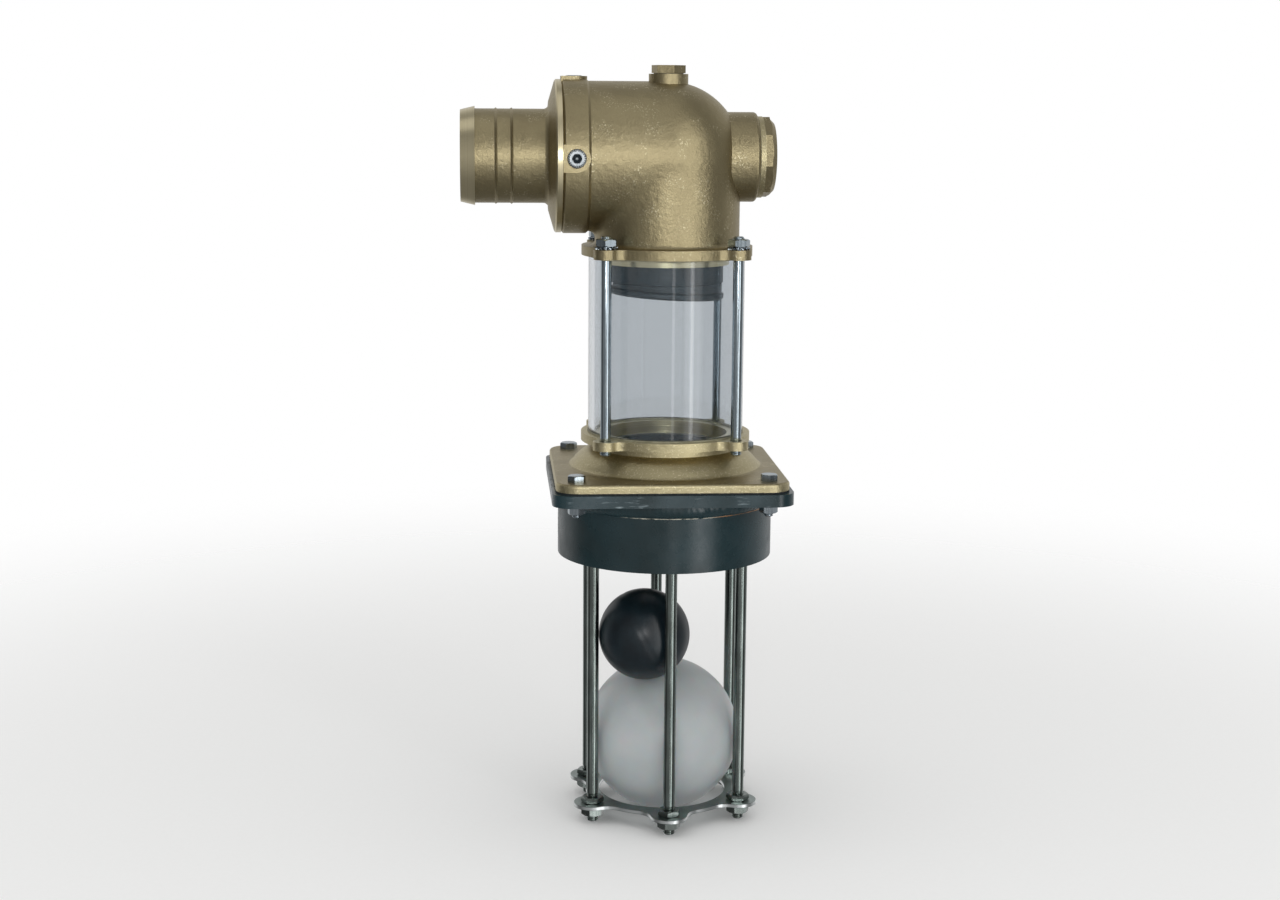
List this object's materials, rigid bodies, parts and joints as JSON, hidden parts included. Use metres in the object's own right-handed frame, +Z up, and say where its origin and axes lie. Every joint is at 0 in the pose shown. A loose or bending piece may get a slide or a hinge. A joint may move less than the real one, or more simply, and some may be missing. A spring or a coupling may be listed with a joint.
{
  "type": "overflow valve",
  "caption": "Vacuum-tank overflow valve: caged float balls, weld-on collar, brass flange, sight glass, elbow with hose tail.",
  "frame": {"origin": "Centre of the lower edge of the weld-on collar, on the valve axis", "axes": "+Z up along the valve axis from the cage to the elbow; the hose tail points along -X and -Y is the side with the visible clamp screw"},
  "size_m": [0.2684, 0.196, 0.6334],
  "materials": {
    "cast_brass": "sand cast, dull",
    "machined_brass": "turned, half bright",
    "zinc_steel": "bright zinc plate",
    "stainless_steel": "drawn bar",
    "painted_steel": "satin slate paint, scuffed",
    "clear_acrylic": "clear tube",
    "black_rubber": "moulded",
    "white_plastic": "blow moulded, milky",
    "gasket_fibre": "sheet"
  },
  "bodies": {
    "root": {"cage_lower_nuts": "stainless_steel", "cage_ring": "stainless_steel", "cage_rod_1": "stainless_steel", "cage_rod_2": "stainless_steel", "cage_rod_3": "stainless_steel", "cage_rod_4": "stainless_steel", "cage_rod_5": "stainless_steel", "cage_rod_6": "stainless_steel", "cage_upper_nuts": "stainless_steel", "clamp_screws": "zinc_steel", "elbow_housing": "cast_brass", "flange_bolts": "zinc_steel", "flange_gasket": "gasket_fibre", "flange_nuts": "zinc_steel", "flange_washers": "zinc_steel", "hose_tail": "machined_brass", "hose_tail_o_ring": "black_rubber", "lower_glass_gasket": "gasket_fibre", "outlet_seat": "black_rubber", "side_plug": "machined_brass", "side_plug_seal": "gasket_fibre", "sight_glass": "clear_acrylic", "tank_flange": "cast_brass", "throat_seat": "black_rubber", "tie_stud_1": "zinc_steel", "tie_stud_2": "zinc_steel", "tie_stud_3": "zinc_steel", "tie_stud_4": "zinc_steel", "tie_stud_nuts": "zinc_steel", "tie_stud_washers": "zinc_steel", "top_plug": "machined_brass", "top_plug_seal": "gasket_fibre", "upper_glass_gasket": "gasket_fibre", "weld_bead": "painted_steel", "weld_collar": "painted_steel", "weld_plate": "painted_steel"},
    "float": {"float_ball": "white_plastic"},
    "signal": {"signal_ball": "black_rubber"}
  },
  "joints": [
    {"name": "float_rise", "type": "slide", "parent": "root", "child": "float", "axis": [0, 0, 1], "range_m": [0, 0.1978]},
    {"name": "signal_roll", "type": "hinge", "parent": "float", "child": "signal", "pos_m": [0, 0, -0.1619], "axis": [-0.866, 0.5, 0], "range_deg": [0, 28.9]}
  ],
  "couplings": [
    {"joint": "signal_roll", "follows": "float_rise", "rad_per_m": 2.5339}
  ]
}
